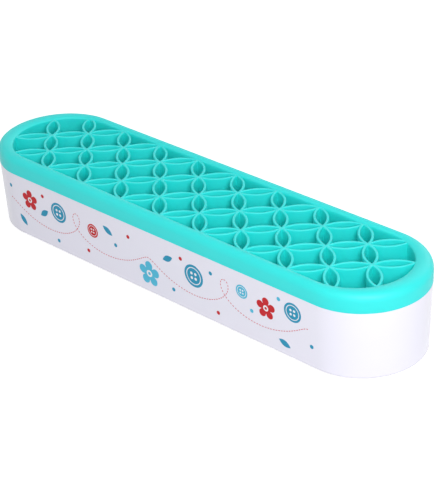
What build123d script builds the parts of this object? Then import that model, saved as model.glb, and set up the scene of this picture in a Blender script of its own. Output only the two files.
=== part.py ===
from build123d import *

import os
from math import cos, degrees, radians, sin, sqrt, tan

# Sewing organizer box: a racetrack tray with a lift-out silicone insert, in millimetres.
# The origin is on the table under the middle of the box. X runs along the box, Y across it, Z up.

# Lattice of overlapping rings, whose overlaps are leaf-shaped cells
pitch = 16.5  # between the centre of a ring and the crossings that it passes through
leaf_width = 7.7  # between the middles of the two walls of a leaf
web = 1.5  # wall thickness
middle_row_rings = 10
side_rows = 2  # rows of rings on each side of the middle row
lattice_drop = 1.2  # how far the lattice lies below the crown of the rim

# Rim of the insert
rim_side_width = 6.5
rim_end_width = 11.0
rim_height = 11.8  # from the seam to the crown
rim_shoulder = 4.5  # radius that the rim's outer edge rounds over with
shoulder_bands = 3
sleeve_wall = 1.6  # wall that hangs from the rim around the lattice
floor_gap = 5.0  # between the insert and the floor of the tray

# Tray
tray_height = 42.2  # from its underside to the seam
tray_wall = 1.6  # at its foot, and thicker above because of the draft
tray_floor = 2.5
tray_draft = 2.0  # degrees
tray_base_bevel = 1.0
lip_wall = 1.3
lip_height = 6.0
lip_lead_in = 0.4
seat_clearance = 0.3  # between the lip and the sides of its groove
groove_clearance = 0.5  # between the top of the lip and the roof of its groove

# Feet
foot_radius = 6.0
foot_thickness = 2.0
foot_recess = 1.0
foot_clearance = 0.1
foot_edge_margin = 6.0  # from the edge of the foot to the edge of the underside

# A leaf runs from crossing to crossing, between two arcs that meet in both of them
leaf_turn = 45  # degrees from X, along the diagonals of the square grid
leaf_length = pitch * sqrt(2)
leaf_arc_radius = (leaf_length**2 + leaf_width**2) / (4 * leaf_width)
leaf_arc_offset = leaf_arc_radius - leaf_width / 2

# The mouth ends in arcs that pass through the last crossings of the rings
mouth_radius = side_rows * pitch
last_crossing = (middle_row_rings - 1) * pitch
mouth_arc_offset = last_crossing - sqrt(mouth_radius**2 - pitch**2)
outer_radius = mouth_radius + rim_side_width
outer_arc_offset = mouth_arc_offset + rim_end_width - rim_side_width

# Heights above the table
tray_underside = foot_thickness - foot_recess
floor_top = tray_underside + tray_floor
seam = tray_underside + tray_height
crown = seam + rim_height
lattice_top = crown - lattice_drop
insert_underside = floor_top + floor_gap

# The outside of the tray leans outwards, and its inside is upright up to the top of the lip
tray_base_radius = outer_radius - tray_height * tan(radians(tray_draft))
tray_inner_radius = tray_base_radius - tray_wall
lip_outer_radius = tray_inner_radius + lip_wall

foot_offset_y = tray_base_radius - foot_edge_margin - foot_radius
foot_places = {
    "foot_front_left": (-outer_arc_offset, -foot_offset_y),
    "foot_front_right": (outer_arc_offset, -foot_offset_y),
    "foot_back_left": (-outer_arc_offset, foot_offset_y),
    "foot_back_right": (outer_arc_offset, foot_offset_y),
}


def racetrack(arc_offset, radius, mode=Mode.ADD):
    """A slot along X whose end arcs are centred that far from the origin."""
    return SlotCenterToCenter(2 * arc_offset, 2 * radius, mode=mode)


def leaf(arc_radius):
    """The lens along X between two arcs of that radius."""
    with BuildSketch() as lens:
        with Locations((0, leaf_arc_offset)):
            Circle(arc_radius)
        with Locations((0, -leaf_arc_offset)):
            Circle(arc_radius, mode=Mode.INTERSECT)
    return lens.sketch


# Tray: a drafted shell with an upright lip for the insert and four pockets for the feet
with BuildPart() as tray:
    with BuildSketch(Plane.XY.offset(tray_underside)):
        racetrack(outer_arc_offset, tray_base_radius)
    extrude(amount=tray_height, taper=-tray_draft)
    chamfer(tray.edges().group_by(Axis.Z)[0], tray_base_bevel)
    with BuildSketch(Plane.XY.offset(seam)):
        racetrack(outer_arc_offset, lip_outer_radius)
    extrude(amount=lip_height)
    with BuildSketch(Plane.XY.offset(floor_top)):
        racetrack(outer_arc_offset, tray_inner_radius)
    extrude(amount=seam + lip_height - floor_top, mode=Mode.SUBTRACT)
    chamfer(tray.edges().group_by(Axis.Z)[-1], lip_lead_in)
    with BuildSketch(Plane.XY.offset(tray_underside)):
        with Locations(*foot_places.values()):
            Circle(foot_radius + foot_clearance)
    extrude(amount=foot_recess, mode=Mode.SUBTRACT)
tray.part.label = "tray"

# The walls around one leaf of the lattice, and the mouth that trims the outer leaves
with BuildSketch() as leaf_walls:
    add(leaf(leaf_arc_radius + web / 2))
    add(leaf(leaf_arc_radius - web / 2), mode=Mode.SUBTRACT)
with BuildSketch() as mouth:
    racetrack(mouth_arc_offset, mouth_radius)

# Insert: a rim with a groove for the lip, a sleeve below it and the lattice of leaves inside.
# The rim's shoulder is a quarter round of conical bands, each a chord of the quarter circle.
with BuildPart() as insert:
    with BuildSketch(Plane.XY.offset(seam)):
        racetrack(outer_arc_offset, outer_radius)
    extrude(amount=rim_height - rim_shoulder)
    for band in range(shoulder_bands):
        low_angle = radians(90 * band / shoulder_bands)
        high_angle = radians(90 * (band + 1) / shoulder_bands)
        with BuildSketch(Plane.XY.offset(crown - rim_shoulder * (1 - sin(low_angle)))):
            racetrack(outer_arc_offset, outer_radius - rim_shoulder * (1 - cos(low_angle)))
        band_height = rim_shoulder * (sin(high_angle) - sin(low_angle))
        extrude(amount=band_height, taper=degrees(low_angle + high_angle) / 2)
    with BuildSketch(Plane.XY.offset(insert_underside)):
        racetrack(mouth_arc_offset, mouth_radius + sleeve_wall)
    extrude(amount=seam - insert_underside)
    with BuildSketch(Plane.XY.offset(insert_underside)):
        racetrack(mouth_arc_offset, mouth_radius)
    extrude(amount=crown - insert_underside, mode=Mode.SUBTRACT)
    mouth_edges = insert.faces().sort_by(Axis.Z)[-1].inner_wires().edges()
    chamfer(mouth_edges, lattice_drop)
    with BuildSketch(Plane.XY.offset(seam)):
        racetrack(outer_arc_offset, lip_outer_radius + seat_clearance)
        racetrack(outer_arc_offset, tray_inner_radius - seat_clearance, mode=Mode.SUBTRACT)
    extrude(amount=lip_height + groove_clearance, mode=Mode.SUBTRACT)
    with BuildSketch(Plane.XY.offset(insert_underside)):
        for row in range(side_rows):
            for side in (-1, 1):
                for lean in (-1, 1):
                    with Locations((lean * side * pitch / 2, side * (row + 0.5) * pitch)):
                        with GridLocations(2 * pitch, 1, middle_row_rings - 1 - row, 1):
                            add(leaf_walls.sketch, rotation=lean * leaf_turn)
        add(mouth.sketch, mode=Mode.INTERSECT)
    extrude(amount=lattice_top - insert_underside)
insert.part.label = "insert"

# Feet: rubber pads that stand in the pockets of the tray
feet = []
for foot_name, foot_place in foot_places.items():
    with BuildPart() as foot:
        with BuildSketch(Plane.XY.offset(foot_thickness)):
            with Locations(foot_place):
                Circle(foot_radius)
        extrude(amount=-foot_thickness)
    foot.part.label = foot_name
    feet.append(foot.part)

os.makedirs("parts", exist_ok=True)
for piece in (tray.part, insert.part, *feet):
    export_step(piece, f"parts/{piece.label}.step")
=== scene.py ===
import bmesh
import bpy
import math
import numpy as np
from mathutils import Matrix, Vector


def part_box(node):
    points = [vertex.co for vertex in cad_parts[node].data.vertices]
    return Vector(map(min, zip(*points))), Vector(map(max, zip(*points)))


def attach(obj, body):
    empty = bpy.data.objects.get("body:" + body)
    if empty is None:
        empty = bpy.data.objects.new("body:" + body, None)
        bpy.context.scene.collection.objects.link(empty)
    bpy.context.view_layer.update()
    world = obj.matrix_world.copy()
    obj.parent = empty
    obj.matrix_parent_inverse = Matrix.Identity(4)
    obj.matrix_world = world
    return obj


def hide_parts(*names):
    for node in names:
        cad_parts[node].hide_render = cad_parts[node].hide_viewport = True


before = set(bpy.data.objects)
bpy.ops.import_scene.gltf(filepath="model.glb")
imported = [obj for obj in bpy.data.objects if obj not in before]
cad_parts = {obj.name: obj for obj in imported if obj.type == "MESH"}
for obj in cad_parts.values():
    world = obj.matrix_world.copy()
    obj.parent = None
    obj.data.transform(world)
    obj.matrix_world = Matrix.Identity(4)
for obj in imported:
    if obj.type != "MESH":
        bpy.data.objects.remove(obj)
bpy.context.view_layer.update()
print("frame loaded:", sorted(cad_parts))

mm = 0.001  # every size below is in millimetres, and the meshes are in metres
mergeDistance = 0.002  # points nearer than this are one
creaseAngle = 35  # degrees between two faces, above which the edge stays sharp

# The camera stands where the photograph was taken from
camera = {
    "place": (622.32, -607.23, 501.24),
    "turn": (60.857, 2.492, 43.686),  # degrees
    "focalLength": 119.66,
    "sensor": 36.0,
}

lens = bpy.data.cameras.new("camera")
lens.lens = camera["focalLength"]
lens.sensor_width = camera["sensor"]
lens.clip_start = 10 * mm
cameraObject = bpy.data.objects.new("camera", lens)
cameraObject.location = [v * mm for v in camera["place"]]
cameraObject.rotation_euler = [math.radians(v) for v in camera["turn"]]
bpy.context.scene.collection.objects.link(cameraObject)
bpy.context.scene.camera = cameraObject
print("camera placed")


# Mesh tools

# The quads of a grid of rows by columns, with the last row or column joined to the first where asked
def gridFaces(rows, columns, closedRows=False, closedColumns=True):
    row = np.arange(rows if closedRows else rows - 1)[:, None]
    column = np.arange(columns if closedColumns else columns - 1)[None, :]
    nextRow, nextColumn = (row + 1) % rows, (column + 1) % columns
    corners = [row * columns + column, row * columns + nextColumn,
               nextRow * columns + nextColumn, nextRow * columns + column]
    return np.stack(corners, -1).reshape(-1, 4)


# The quads of many equal grids, whose points follow each other
def repeatFaces(faces, pointCount, copies):
    return (faces[None] + np.arange(copies)[:, None, None] * pointCount).reshape(-1, 4)


# A mesh object from points in millimetres. Doubles are merged, which closes poles and seams, and the faces
# are turned outwards.
def makePiece(name, points, faces):
    mesh = bpy.data.meshes.new(name)
    mesh.from_pydata((points.reshape(-1, 3) * mm).tolist(), [], faces.tolist())
    work = bmesh.new()
    work.from_mesh(mesh)
    bmesh.ops.remove_doubles(work, verts=work.verts, dist=mergeDistance * mm)
    bmesh.ops.recalc_face_normals(work, faces=work.faces)
    work.to_mesh(mesh)
    work.free()
    piece = bpy.data.objects.new(name, mesh)
    bpy.context.scene.collection.objects.link(piece)
    return piece


# Unites, intersects or subtracts closed meshes for good, and removes the tool
def combine(piece, tool, operation):
    cut = piece.modifiers.new("combine", "BOOLEAN")
    cut.operation = operation
    cut.object = tool
    cut.solver = "MANIFOLD"
    view = bpy.context.evaluated_depsgraph_get()
    newMesh = bpy.data.meshes.new_from_object(piece.evaluated_get(view))
    piece.modifiers.clear()
    piece.data = newMesh
    bpy.data.objects.remove(tool)


# Smooth shading, with creases only where two faces meet at more than the crease angle
def shadeSmooth(piece):
    work = bmesh.new()
    work.from_mesh(piece.data)
    for edge in work.edges:
        edge.smooth = edge.calc_face_angle(math.pi) < math.radians(creaseAngle)
    for face in work.faces:
        face.smooth = True
    work.to_mesh(piece.data)
    work.free()
    piece.modifiers.new("evenShading", "WEIGHTED_NORMAL").keep_sharp = True


# A profile carried once round a racetrack. Each profile row is (arc offset, radius, height): the point runs
# beside the straight at that radius, and round each end's arc, whose centre is at that offset along X.
def racetrackSurface(name, profile, straightSteps=24, arcSteps=56, closedProfile=True):
    along = np.linspace(-1, 1, straightSteps, endpoint=False)
    turn = np.linspace(-90, 90, arcSteps, endpoint=False)
    centre = np.concatenate([along, np.ones(arcSteps), -along, -np.ones(arcSteps)])
    straight = np.full(straightSteps, 90)
    angle = np.radians(np.concatenate([-straight, turn, straight, turn + 180]))
    offset, radius, height = np.array(profile, float).T[:, :, None]
    points = np.stack([offset * centre + radius * np.cos(angle),
                       radius * np.sin(angle),
                       height + 0 * angle], -1)
    return makePiece(name, points, gridFaces(len(profile), len(centre), closedRows=closedProfile))


# A profile carried once round a leaf at each of several places. Each profile row is (shift, height): at that
# height the outline is two arcs with the leaf's own centres, larger than its own by that shift, which meet
# in two tips. Each place is (x, y, lean), and with a lean of 1 the leaf lies along the diagonal that rises
# with X.
def leafSurface(name, profile, places, arcRadius, arcCentre, steps):
    shift, height = np.array(profile, float).T[:, :, None]
    radius = arcRadius + shift
    angle = np.arccos(arcCentre / radius) * np.linspace(-1, 1, steps, endpoint=False)
    arc = np.stack([radius * np.sin(angle), radius * np.cos(angle) - arcCentre], -1)
    outline = np.concatenate([arc, -arc], 1)
    x, y, lean = np.array(places, float).T[:, :, None, None]
    points = np.stack([x + (outline[..., 0] - lean * outline[..., 1]) / math.sqrt(2),
                       y + (lean * outline[..., 0] + outline[..., 1]) / math.sqrt(2),
                       height + 0 * x + 0 * outline[..., 0]], -1)
    faces = gridFaces(len(profile), 2 * steps, closedRows=True)
    return makePiece(name, points, repeatFaces(faces, len(profile) * 2 * steps, len(places)))


# A profile turned once round an upright axis at each of several places. Each profile row is (radius, height):
# the point is at that radius times the cosine and the sine of each angle.
def turnedSurface(name, profile, places, steps):
    angle = np.linspace(0, 2 * math.pi, steps, endpoint=False)
    radius, height = np.array(profile, float).T[:, :, None]
    one = np.stack([radius * np.cos(angle), radius * np.sin(angle), height + 0 * angle], -1).reshape(-1, 3)
    shift = np.column_stack([np.array(places, float), np.zeros(len(places))])
    faces = gridFaces(len(profile), steps)
    return makePiece(name, one[None] + shift[:, None], repeatFaces(faces, len(one), len(places)))


# Profile rows round a corner: its centre plus its size times the cosine and the sine of the angles in
# degrees that it turns through
def roundCorner(centreRadius, centreHeight, size, fromAngle, toAngle, steps=5):
    angle = np.radians(np.linspace(fromAngle, toAngle, steps + 1))
    return list(zip(centreRadius + size * np.cos(angle), centreHeight + size * np.sin(angle)))


# The box's own sizes: the outline is read from the frame, and the rest are the real ones
lowestInsert, highestInsert = (np.array(corner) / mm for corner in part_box("insert"))
lowestTray, highestTray = (np.array(corner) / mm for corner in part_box("tray"))

box = {
    "outerRadius": highestInsert[1],
    "outerOffset": highestInsert[0] - highestInsert[1],
    "pitch": 16.5,  # the square grid that the crossings of the lattice lie on
    "middleRowRings": 10,
    "seam": 43.2,
    "crown": highestInsert[2],
}
box["mouthRadius"] = 2 * box["pitch"]
box["lastCrossing"] = (box["middleRowRings"] - 1) * box["pitch"]
box["mouthOffset"] = box["lastCrossing"] - math.sqrt(box["mouthRadius"]**2 - box["pitch"]**2)


# Insert: a lattice of leaf-shaped cells, cut to the mouth, and the rim with its groove and sleeve
insert = {
    "wall": 1.5,
    "wallEdge": 0.45,  # radius on both edges of a wall's top
    "leafWidth": 7.7,  # between the middles of a leaf's two walls
    "leafSteps": 20,  # along each of a leaf's two arcs
    "latticeTop": highestInsert[2] - 1.2,
    "underside": lowestInsert[2],
    "latticeInRim": 0.8,  # how far the walls run into the rim
    "plugMargin": 5,  # how far the tool that cuts the lattice to the mouth stands out above and below
    "sleeveWall": 1.6,
    "grooveInner": 36.13,
    "grooveOuter": 38.03,
    "grooveDepth": 6.5,
    "rimPeak": 0.42,  # where the rim is highest, as a share of its width
    "rimShoulder": 5.5,  # height that the outer shoulder rounds over
    "shoulderPower": 2.3,  # 2 is an ellipse, and more is squarer
    "crownSteps": 8,
    "shoulderSteps": 14,
    "mouthEdge": 0.35,
    "mouthSupport": 2,  # depth of the row of points that keeps the shading at the mouth's edge even
    "seamEdge": 0.3,
}


# One wall's profile is two upright sides and a flat top with rounded edges. Leaves that share a crossing go
# in different groups, because each group is one mesh and the groups are then united. The two outer rows are
# shorter than the two middle ones by a leaf at each end.
def makeLattice():
    half, edge, top = insert["wall"] / 2, insert["wallEdge"], insert["latticeTop"]
    profile = [(half, insert["underside"]), *roundCorner(half - edge, top - edge, edge, 0, 90, steps=4),
               *roundCorner(edge - half, top - edge, edge, 90, 180, steps=4), (-half, insert["underside"])]
    length, width = box["pitch"] * math.sqrt(2), insert["leafWidth"]
    arcRadius = (length**2 + width**2) / (4 * width)
    groups = {}
    for row in (-2, -1, 0, 1):
        reach = box["middleRowRings"] - (1.5 if row in (-1, 0) else 2.5)
        for column in np.arange(-reach, reach + 1):
            lean = 1 if (column - 0.5 + row) % 2 == 0 else -1
            place = (column * box["pitch"], (row + 0.5) * box["pitch"], lean)
            groups.setdefault((lean, row % 2), []).append(place)
    meshes = [leafSurface("lattice", profile, places, arcRadius, arcRadius - width / 2, insert["leafSteps"])
              for places in groups.values()]
    for other in meshes[1:]:
        combine(meshes[0], other, "UNION")
    return meshes[0]


# The rim's height over its width, from 0 at the mouth to 1 at the outside: a parabola up to the peak, then
# a quarter of a superellipse down to the upright side, whose sine and cosine are raised to 2 over its power
def rimTop():
    peak, drop = insert["rimPeak"], box["crown"] - insert["latticeTop"]
    inner = np.linspace(0, 1, insert["crownSteps"] + 1)[1:]
    shoulder = np.radians(np.linspace(0, 90, insert["shoulderSteps"] + 1))[1:]
    power = 2 / insert["shoulderPower"]
    width = np.concatenate([peak * inner, peak + (1 - peak) * np.sin(shoulder)**power])
    fall = insert["rimShoulder"] * (1 - np.cos(shoulder)**power)
    height = np.concatenate([insert["latticeTop"] + drop * (1 - (1 - inner)**2), box["crown"] - fall])
    return width, height


# Up the mouth, over the rim, round the edge of the seam, through the groove and down the sleeve
def rimProfile():
    inOffset, inRadius = box["mouthOffset"], box["mouthRadius"]
    outOffset, outRadius = box["outerOffset"], box["outerRadius"]
    edge, seam, low = insert["mouthEdge"], box["seam"], insert["underside"]
    rows = [(inOffset, inRadius, low),
            (inOffset, inRadius, insert["latticeTop"] - insert["mouthSupport"]),
            (inOffset, inRadius, insert["latticeTop"] - edge)]
    width, height = rimTop()
    rows += [(inOffset + (outOffset - inOffset) * w, inRadius + (outRadius - inRadius) * w, h)
             for w, h in zip(width, height)]
    rows += [(outOffset, *p) for p in roundCorner(outRadius - insert["seamEdge"], seam + insert["seamEdge"],
                                                  insert["seamEdge"], 0, -90, steps=4)]
    rows += [(outOffset, insert["grooveOuter"], seam),
             (outOffset, insert["grooveOuter"], seam + insert["grooveDepth"]),
             (outOffset, insert["grooveInner"], seam + insert["grooveDepth"]),
             (outOffset, insert["grooveInner"], seam),
             (inOffset, inRadius + insert["sleeveWall"], seam),
             (inOffset, inRadius + insert["sleeveWall"], low)]
    return rows


def makeInsert():
    lattice = makeLattice()
    mouthRow = (box["mouthOffset"], box["mouthRadius"] + insert["latticeInRim"])
    low, high = insert["underside"] - insert["plugMargin"], box["crown"] + insert["plugMargin"]
    plug = racetrackSurface("plug", [(box["mouthOffset"], 0, low), (*mouthRow, low), (*mouthRow, high),
                                     (box["mouthOffset"], 0, high)], closedProfile=False)
    combine(lattice, plug, "INTERSECT")
    piece = racetrackSurface("insert_moulding", rimProfile())
    combine(piece, lattice, "UNION")
    shadeSmooth(piece)
    return piece


insertPiece = makeInsert()
print("insert made:", len(insertPiece.data.polygons), "faces")


# Tray: a drafted shell with a lip for the insert's groove and four pockets for the feet
tray = {
    "draft": 2.0,  # degrees
    "underside": lowestTray[2],
    "floorTop": 3.5,
    "innerRadius": 36.43,
    "lipOuter": 37.73,
    "lipTop": highestTray[2],
    "lipEdge": 0.4,
    "topEdge": 0.3,
    "baseEdge": 1.3,
    "floorEdge": 1.5,
    "wallSteps": 8,  # rows of points up the outer wall
    "wallSupport": 2,  # how far the first and the last of them stay from the wall's edges
    "pocketRadius": 6.1,
    "pocketTop": 2.0,
    "pocketSteps": 64,
}


# The outer wall's radius leans out with the height, and meets the rim's at the seam
def wallRadius(height):
    return box["outerRadius"] - (box["seam"] - height) * math.tan(math.radians(tray["draft"]))


# From the middle of the floor up the inside, over the lip and down the outside to the middle of the underside
def trayProfile():
    inner, floor, lip, top = tray["innerRadius"], tray["floorTop"], tray["lipEdge"], tray["lipTop"]
    seam, edge, base, low = box["seam"], tray["topEdge"], tray["baseEdge"], tray["underside"]
    rows = [(0, floor)]
    rows += roundCorner(inner - tray["floorEdge"], floor + tray["floorEdge"], tray["floorEdge"], -90, 0)
    rows += roundCorner(inner + lip, top - lip, lip, 180, 90, steps=3)
    rows += roundCorner(tray["lipOuter"] - lip, top - lip, lip, 90, 0, steps=3)
    rows += [(tray["lipOuter"], seam)]
    rows += roundCorner(wallRadius(seam - edge) - edge, seam - edge, edge, 90, 0, steps=4)
    support = tray["wallSupport"]
    heights = np.linspace(seam - support, low + base + support, tray["wallSteps"])
    rows += [(wallRadius(height), height) for height in heights]
    rows += roundCorner(wallRadius(low + base) - base, low + base, base, 0, -90, steps=6)
    rows += [(0, low)]
    return [(box["outerOffset"], *row) for row in rows]


footNames = [name for name in sorted(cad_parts) if name.startswith("foot")]


def makeTray():
    piece = racetrackSurface("tray_shell", trayProfile(), closedProfile=False)
    radius, top = tray["pocketRadius"], tray["pocketTop"]
    pocket = [(0, -top), (radius, -top), (radius, top), (0, top)]
    places = [np.array(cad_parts[name].bound_box).mean(0)[:2] / mm for name in footNames]
    combine(piece, turnedSurface("pockets", pocket, places, tray["pocketSteps"]), "DIFFERENCE")
    shadeSmooth(piece)
    return piece


trayPiece = makeTray()
print("tray made:", len(trayPiece.data.polygons), "faces")


# Feet: rubber pads with a rounded lower edge, one in each pocket
foot = {
    "topEdge": 0.3,
    "baseEdge": 0.8,
    "steps": 64,
}


def makeFoot(name):
    low, high = (np.array(corner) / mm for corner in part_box(name))
    radius, place = (high[0] - low[0]) / 2, (low + high)[:2] / 2
    rows = [(0, high[2])]
    rows += roundCorner(radius - foot["topEdge"], high[2] - foot["topEdge"], foot["topEdge"], 90, 0, steps=3)
    rows += roundCorner(radius - foot["baseEdge"], low[2] + foot["baseEdge"], foot["baseEdge"], 0, -90)
    rows += [(0, low[2])]
    piece = turnedSurface(name.replace("foot", "foot_pad"), rows, [place], foot["steps"])
    shadeSmooth(piece)
    return piece


footPieces = {name: makeFoot(name) for name in footNames}
print("feet made:", len(footPieces))


# Print: screen ink on the front of the tray, as closed films that reach a little into the wall.
# Places are (length along the wall from its middle, height above the table).
printing = {
    "film": 0.03,  # how far the first ink stands out
    "layer": 0.02,  # how far each later ink stands out over the one before
    "inside": 0.3,  # how far the back of a film lies in the wall
    "steps": 60,  # points of each motif's outline
    "stitchSteps": 16,  # points of each stitch's outline
    "threadStart": -131,
    "threadLength": 250,  # from end to end, as the crow flies
    "threadWaves": 4,
    "threadHeight": 21,
    "threadSamples": 4000,
    "waveSwing": 5.5,
    "waveRise": 0.8,  # swing up and down as a share of the swing along the thread
    "loopSwing": 10.5,  # added to the swing where the thread makes a loop
    "loopPlaces": (0.25, 0.75),  # as shares of the thread
    "loopSharpness": 2.2,  # how soon the added swing dies away, for each wave
    "stitch": 1.3,
    "stitchGap": 0.8,
    "stitchWidth": 0.5,
    "flowers": [(-112, 29, 7, "red"), (-6, 14.5, 8.5, "sky"), (88, 27, 7, "red")],
    "buttons": [(-85, 29, 6.8, "teal"), (-54, 27, 4.6, "red"), (32, 27, 7.4, "teal"), (70, 31, 4.4, "sky"),
                (108, 32, 6.2, "teal")],
    "leaves": [(-99, 24, 35, "teal"), (-121, 12, 130, "teal"), (-40, 32, 150, "teal"), (11, 31, 25, "teal"),
               (101, 9, -20, "teal")],
    "dots": [(-99, 36, "red"), (-130, 34, "teal"), (-88, 8, "teal"), (-60, 11, "red"), (-34, 24, "teal"),
             (-22, 34, "red"), (22, 35, "red"), (14, 11, "teal"), (46, 34, "teal"), (50, 9, "red"),
             (77, 21, "sky"), (98, 37, "sky"), (121, 15, "teal")],
    "dotRadius": 1.3,
    "leafSize": (9, 4),
    "petalHollow": 0.48,  # radius between two petals as a share of the flower's, and so on below
    "petalPower": 0.6,
    "flowerMiddle": 0.27,
    "flowerDot": 0.13,
    "buttonRing": 0.78,
    "buttonInside": 0.7,
    "holePlace": 0.3,
    "holeRadius": 0.13,
}


# Points on the tray's outer wall. Along the straight they follow X, and past its ends they turn round the
# arc's centre by the length left over the wall's radius at that height.
def onWall(along, height, lift):
    straight = np.clip(along, -box["outerOffset"], box["outerOffset"])
    turn = (along - straight) / wallRadius(height)
    radius = wallRadius(height) + lift
    return np.stack([straight + radius * np.sin(turn), -radius * np.cos(turn), height], -1)


# Outlines round the origin, each a closed loop of points that its middle sees whole
outlineAngle = np.linspace(0, 2 * math.pi, printing["steps"], endpoint=False)
stitchAngle = np.linspace(0, 2 * math.pi, printing["stitchSteps"], endpoint=False)


# A radius round the origin, which is one number or one for each angle
def disc(radius):
    return np.stack([radius * np.cos(outlineAngle), radius * np.sin(outlineAngle)], -1)


# Five petals: the radius grows from the hollow by a power of the cosine of two and a half times the angle
def flower(radius):
    hollow, petal = printing["petalHollow"], np.abs(np.cos(2.5 * outlineAngle))**printing["petalPower"]
    return disc(radius * (hollow + (1 - hollow) * petal))


# A leaf that is pointed at both ends: its width follows the square of the sine
def leafOutline(length, width):
    across = np.sin(outlineAngle)
    return np.stack([length / 2 * np.cos(outlineAngle), width / 2 * np.sign(across) * across**2], -1)


# A stitch: a straight run with round ends
def stitchOutline(length, width):
    along = np.cos(stitchAngle)
    return np.stack([(length - width) / 2 * np.sign(along) + width / 2 * along,
                     width / 2 * np.sin(stitchAngle)], -1)


# An outline turned by an angle in degrees and moved to its place
def placed(outline, along, height, turn=0.0):
    c, s = math.cos(math.radians(turn)), math.sin(math.radians(turn))
    return outline @ np.array([[c, s], [-s, c]]) + (along, height)


# The thread is a wave whose points also swing back and forth along it. The height follows the cosine of the
# phase, the swing along it the sine, and where a bump makes the swing larger, the thread runs in a loop.
# Returns places along it at equal steps of a stitch and a gap, with the direction there.
def threadStitches():
    share = np.linspace(0, 1, printing["threadSamples"])
    sharpness = printing["threadWaves"] * printing["loopSharpness"]
    bumps = sum(np.exp(-((share - place) * sharpness)**2) for place in printing["loopPlaces"])
    swing = printing["waveSwing"] + printing["loopSwing"] * bumps
    phase = 2 * math.pi * printing["threadWaves"] * share
    along = printing["threadStart"] + printing["threadLength"] * share - swing * np.sin(phase)
    height = printing["threadHeight"] + printing["waveRise"] * swing * np.cos(phase)
    travelled = np.concatenate([[0], np.cumsum(np.hypot(np.diff(along), np.diff(height)))])
    middles = np.arange(printing["stitch"] / 2, travelled[-1], printing["stitch"] + printing["stitchGap"])
    turn = np.degrees(np.unwrap(np.arctan2(np.gradient(height), np.gradient(along))))
    return [np.interp(middles, travelled, values) for values in (along, height, turn)]


# A film for each outline, with its back inside the wall
def inkFilms(name, outlines, layer):
    outlines = np.array(outlines)
    middle = outlines.mean(1, keepdims=True) + 0 * outlines
    rows = np.stack([middle, outlines, outlines, middle], 1)
    lift = printing["film"] + layer * printing["layer"]
    lifts = np.array([lift, lift, -printing["inside"], -printing["inside"]])[None, :, None]
    points = onWall(rows[..., 0], rows[..., 1], lifts)
    steps = outlines.shape[1]
    return makePiece(name, points, repeatFaces(gridFaces(4, steps), 4 * steps, len(outlines)))


# Buttons are a disc, a lighter ring and an inner disc with four holes, and flowers have a white middle.
# Each ink stands on the layer before it: the thread is layer 0, every motif starts in layer 1, and what
# lies on the motifs is in layers 2 to 4.
def makePrint():
    films = {}

    def ink(colour, layer, outline):
        films.setdefault((colour, layer), []).append(outline)

    stitch = stitchOutline(printing["stitch"], printing["stitchWidth"])
    for along, height, turn in zip(*threadStitches()):
        ink("thread", 0, placed(stitch, along, height, turn))
    for along, height, turn, colour in printing["leaves"]:
        ink(colour, 1, placed(leafOutline(*printing["leafSize"]), along, height, turn))
    for along, height, colour in printing["dots"]:
        ink(colour, 1, placed(disc(printing["dotRadius"]), along, height))
    for along, height, radius, colour in printing["flowers"]:
        ink(colour, 1, placed(flower(radius), along, height, turn=90))
        ink("white", 2, placed(disc(printing["flowerMiddle"] * radius), along, height))
        ink(colour, 3, placed(disc(printing["flowerDot"] * radius), along, height))
    for along, height, radius, colour in printing["buttons"]:
        ink(colour, 1, placed(disc(radius), along, height))
        ink("white", 2, placed(disc(printing["buttonRing"] * radius), along, height))
        ink(colour, 3, placed(disc(printing["buttonInside"] * radius), along, height))
        side = printing["holePlace"] * radius / math.sqrt(2)
        for right, up in ((side, side), (-side, side), (-side, -side), (side, -side)):
            ink("white", 4, placed(disc(printing["holeRadius"] * radius), along + right, height + up))
    pieces = {}
    for (colour, layer), outlines in films.items():
        film = inkFilms(f"print_{colour}_{layer}", outlines, layer)
        pieces.setdefault(colour, []).append(film)
    return pieces


printPieces = makePrint()
print("print made:", sum(len(pieces) for pieces in printPieces.values()), "films")


# Materials

# A colour written as sRGB hex digits, in the linear values that shaders take
def linearColour(hexDigits):
    parts = [int(hexDigits[k:k + 2], 16) / 255 for k in (1, 3, 5)]
    return [v / 12.92 if v <= 0.04045 else ((v + 0.055) / 1.055)**2.4 for v in parts] + [1]


# Adds a node: settings name its own properties or its sockets, and links name the sockets that other nodes
# feed
def addNode(tree, kind, settings, links):
    node = tree.nodes.new("ShaderNode" + kind)
    own = {name: value for name, value in settings.items() if hasattr(node, name)}
    for name, value in own.items():
        setattr(node, name, value)
    for name, value in settings.items():
        if name not in own:
            node.inputs[name].default_value = value
    for name, source in links.items():
        tree.links.new(source, node.inputs[name])
    return node


def emptyMaterial(name):
    material = bpy.data.materials.new(name)
    material.use_nodes = True
    material.node_tree.nodes.clear()
    return material, material.node_tree


# How often a pattern of a real size repeats in a metre
def perMetre(size):
    return 1 / (size * mm)


# Silicone, compression moulded: one even colour, a satin face, and a little light goes through thin walls
silicone = {
    "colour": "#2CEBE8",
    "deepColour": "#24E5E2",
    "roughness": 0.52,
    "ior": 1.41,
    "gloss": 0.8,  # where 0.5 is that of a clean face of this index
    "throughLight": 0.4,  # share of the light that goes in and comes out elsewhere
    "throughReach": (1.0, 3.0, 2.6),  # how far red, green and blue light travels inside
    "cloudSize": 45,  # slow change of colour across the moulding
    "grainSize": 0.8,  # the real grain is finer, and this is as fine as shows
    "grainDepth": 0.02,
    "grainStrength": 0.4,
}


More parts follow.
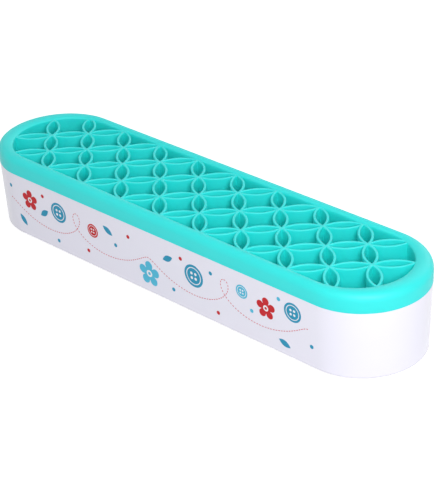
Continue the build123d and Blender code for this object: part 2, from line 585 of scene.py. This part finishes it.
def siliconeMaterial():
    material, tree = emptyMaterial("silicone_moulded")
    place = addNode(tree, "TexCoord", {}, {}).outputs["Object"]
    clouds = addNode(tree, "TexNoise", {"Scale": perMetre(silicone["cloudSize"]), "Detail": 2.0},
                     {"Vector": place})
    grain = addNode(tree, "TexNoise", {"Scale": perMetre(silicone["grainSize"]), "Detail": 3.0},
                    {"Vector": place})
    colour = addNode(tree, "MixRGB", {"Color1": linearColour(silicone["colour"]),
                                      "Color2": linearColour(silicone["deepColour"])},
                     {"Fac": clouds.outputs["Fac"]})
    bump = addNode(tree, "Bump", {"Strength": silicone["grainStrength"],
                                  "Distance": silicone["grainDepth"] * mm},
                   {"Height": grain.outputs["Fac"]})
    shader = addNode(tree, "BsdfPrincipled", {
        "Roughness": silicone["roughness"], "IOR": silicone["ior"], "Specular IOR Level": silicone["gloss"],
        "Subsurface Weight": silicone["throughLight"], "Subsurface Scale": mm,
        "Subsurface Radius": silicone["throughReach"]},
        {"Base Color": colour.outputs["Color"], "Normal": bump.outputs["Normal"]})
    addNode(tree, "OutputMaterial", {}, {"Surface": shader.outputs["BSDF"]})
    return material


# ABS, injection moulded against a polished tool: opaque cool white, gloss with a faint waviness
plastic = {
    "colour": "#F0EEFC",
    "warmColour": "#ECEBF7",
    "roughness": 0.26,
    "ior": 1.53,
    "cloudSize": 60,
    "waveSize": 9,
    "waveDepth": 0.03,
    "waveStrength": 0.3,
}


def absMaterial():
    material, tree = emptyMaterial("abs_moulded")
    place = addNode(tree, "TexCoord", {}, {}).outputs["Object"]
    clouds = addNode(tree, "TexNoise", {"Scale": perMetre(plastic["cloudSize"]), "Detail": 2.0},
                     {"Vector": place})
    waves = addNode(tree, "TexNoise", {"Scale": perMetre(plastic["waveSize"]), "Detail": 1.0},
                    {"Vector": place})
    colour = addNode(tree, "MixRGB", {"Color1": linearColour(plastic["colour"]),
                                      "Color2": linearColour(plastic["warmColour"])},
                     {"Fac": clouds.outputs["Fac"]})
    bump = addNode(tree, "Bump", {"Strength": plastic["waveStrength"],
                                  "Distance": plastic["waveDepth"] * mm},
                   {"Height": waves.outputs["Fac"]})
    shader = addNode(tree, "BsdfPrincipled", {"Roughness": plastic["roughness"], "IOR": plastic["ior"]},
                     {"Base Color": colour.outputs["Color"], "Normal": bump.outputs["Normal"]})
    addNode(tree, "OutputMaterial", {}, {"Surface": shader.outputs["BSDF"]})
    return material


# Rubber, compression moulded: mid grey and matt, with a fine grain from the mould
rubber = {
    "colour": "#6E7075",
    "roughness": 0.75,
    "ior": 1.52,
    "grainSize": 0.5,
    "grainDepth": 0.03,
    "grainStrength": 0.5,
}


def rubberMaterial():
    material, tree = emptyMaterial("rubber_moulded")
    place = addNode(tree, "TexCoord", {}, {}).outputs["Object"]
    grain = addNode(tree, "TexNoise", {"Scale": perMetre(rubber["grainSize"]), "Detail": 2.0},
                    {"Vector": place})
    bump = addNode(tree, "Bump", {"Strength": rubber["grainStrength"],
                                  "Distance": rubber["grainDepth"] * mm},
                   {"Height": grain.outputs["Fac"]})
    shader = addNode(tree, "BsdfPrincipled", {"Base Color": linearColour(rubber["colour"]),
                                              "Roughness": rubber["roughness"], "IOR": rubber["ior"]},
                     {"Normal": bump.outputs["Normal"]})
    addNode(tree, "OutputMaterial", {}, {"Surface": shader.outputs["BSDF"]})
    return material


# Ink, screen printed: flat opaque colour, less glossy than the plastic, with a slight mottle from the mesh
# of the screen
inks = {
    "teal": "#2195BA",
    "sky": "#52BEDE",
    "red": "#C6121F",
    "thread": "#CC4257",
    "white": "#F1F1F6",
    "mottleSize": 0.7,  # the real mesh is finer, and this is as fine as shows
    "mottleRoughness": 0.08,  # up and down from the roughness
    "roughness": 0.5,
    "gloss": 0.25,  # where 0.5 is that of bare resin
}


def inkMaterial(name):
    material, tree = emptyMaterial(f"ink_screen_printed_{name}")
    place = addNode(tree, "TexCoord", {}, {}).outputs["Object"]
    mottle = addNode(tree, "TexNoise", {"Scale": perMetre(inks["mottleSize"]), "Detail": 1.0},
                     {"Vector": place})
    rough = addNode(tree, "MapRange", {"To Min": inks["roughness"] - inks["mottleRoughness"],
                                       "To Max": inks["roughness"] + inks["mottleRoughness"]},
                    {"Value": mottle.outputs["Fac"]})
    shader = addNode(tree, "BsdfPrincipled",
                     {"Base Color": linearColour(inks[name]), "Specular IOR Level": inks["gloss"]},
                     {"Roughness": rough.outputs["Result"]})
    addNode(tree, "OutputMaterial", {}, {"Surface": shader.outputs["BSDF"]})
    return material


# Gives a piece one material
def dress(piece, material):
    piece.data.materials.clear()
    piece.data.materials.append(material)


absWhite, rubberGrey = absMaterial(), rubberMaterial()
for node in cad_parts.values():
    dress(node, absWhite)
dress(insertPiece, siliconeMaterial())
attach(insertPiece, "lattice_insert")
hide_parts("insert")
dress(trayPiece, absWhite)
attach(trayPiece, "base")
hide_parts("tray")
for name, piece in footPieces.items():
    dress(piece, rubberGrey)
    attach(piece, "base")
    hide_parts(name)
for colour, pieces in printPieces.items():
    ink = inkMaterial(colour)
    for piece in pieces:
        dress(piece, ink)
        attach(piece, "base")
print("materials given and pieces joined to their bodies")


# Floor, background and lights. The key stands where the photograph's main light comes from, and the fill
# lights the back.
studio = {
    "floorSize": 6000,
    "floorColour": "#DADADA",
    "floorWhite": 0.67,  # what the camera and gloss see besides the floor's own shading
    "background": 0.5,  # strength of the world's light on the pieces
    "keyPlace": (680, -459, 574),
    "keySize": 500,
    "keyPower": 5.7,
    "fillPlace": (-200, 1300, 600),
    "fillSize": 900,
    "fillPower": 2.8,
}


# What the camera, gloss and glass see is 1, and everything else 0
def seenDirectly(tree):
    path = addNode(tree, "LightPath", {}, {})
    glossy = addNode(tree, "Math", {"operation": "MAXIMUM"}, {})
    tree.links.new(path.outputs["Is Camera Ray"], glossy.inputs[0])
    tree.links.new(path.outputs["Is Glossy Ray"], glossy.inputs[1])
    through = addNode(tree, "Math", {"operation": "MAXIMUM"}, {})
    tree.links.new(glossy.outputs[0], through.inputs[0])
    tree.links.new(path.outputs["Is Transmission Ray"], through.inputs[1])
    return through.outputs[0]


# Its own shading keeps the object's shadow, and a plain white is added to it for the camera
def makeFloor():
    half = studio["floorSize"] / 2
    grid = np.stack(np.meshgrid([-half, half], [-half, half]), -1)
    points = np.concatenate([grid, np.zeros((2, 2, 1))], -1)
    floor = makePiece("floor", points, gridFaces(2, 2, closedColumns=False))
    material, tree = emptyMaterial("floor_pale")
    white = addNode(tree, "Math", {"operation": "MULTIPLY"}, {})
    tree.links.new(seenDirectly(tree), white.inputs[0])
    white.inputs[1].default_value = studio["floorWhite"]
    matte = addNode(tree, "BsdfDiffuse", {"Color": linearColour(studio["floorColour"])}, {})
    glow = addNode(tree, "Emission", {}, {"Strength": white.outputs[0]})
    both = addNode(tree, "AddShader", {}, {})
    tree.links.new(matte.outputs[0], both.inputs[0])
    tree.links.new(glow.outputs[0], both.inputs[1])
    addNode(tree, "OutputMaterial", {}, {"Surface": both.outputs[0]})
    floor.data.materials.append(material)


# White to the camera and in gloss, and dimmer as light on the pieces
def makeWorld():
    world = bpy.data.worlds.new("studio")
    bpy.context.scene.world = world
    world.use_nodes = True
    tree = world.node_tree
    tree.nodes.clear()
    strength = addNode(tree, "MapRange", {"To Min": studio["background"], "To Max": 1.0},
                       {"Value": seenDirectly(tree)})
    background = addNode(tree, "Background", {"Color": (1, 1, 1, 1)}, {"Strength": strength.outputs[0]})
    addNode(tree, "OutputWorld", {}, {"Surface": background.outputs[0]})


# A round lamp that faces the origin, which is on the floor under the middle of the box
def makeLight(name, place, size, power):
    lamp = bpy.data.lights.new(name, "AREA")
    lamp.shape = "DISK"
    lamp.size = size * mm
    lamp.energy = power
    body = bpy.data.objects.new(name, lamp)
    bpy.context.scene.collection.objects.link(body)
    body.location = [v * mm for v in place]
    aim = np.array(place) / np.linalg.norm(place)
    body.rotation_euler = (math.acos(aim[2]), 0, math.atan2(aim[1], aim[0]) + math.pi / 2)


makeFloor()
makeWorld()
makeLight("key", studio["keyPlace"], studio["keySize"], studio["keyPower"])
makeLight("fill", studio["fillPlace"], studio["fillSize"], studio["fillPower"])
bpy.context.scene.view_settings.view_transform = "Standard"
print("studio set")
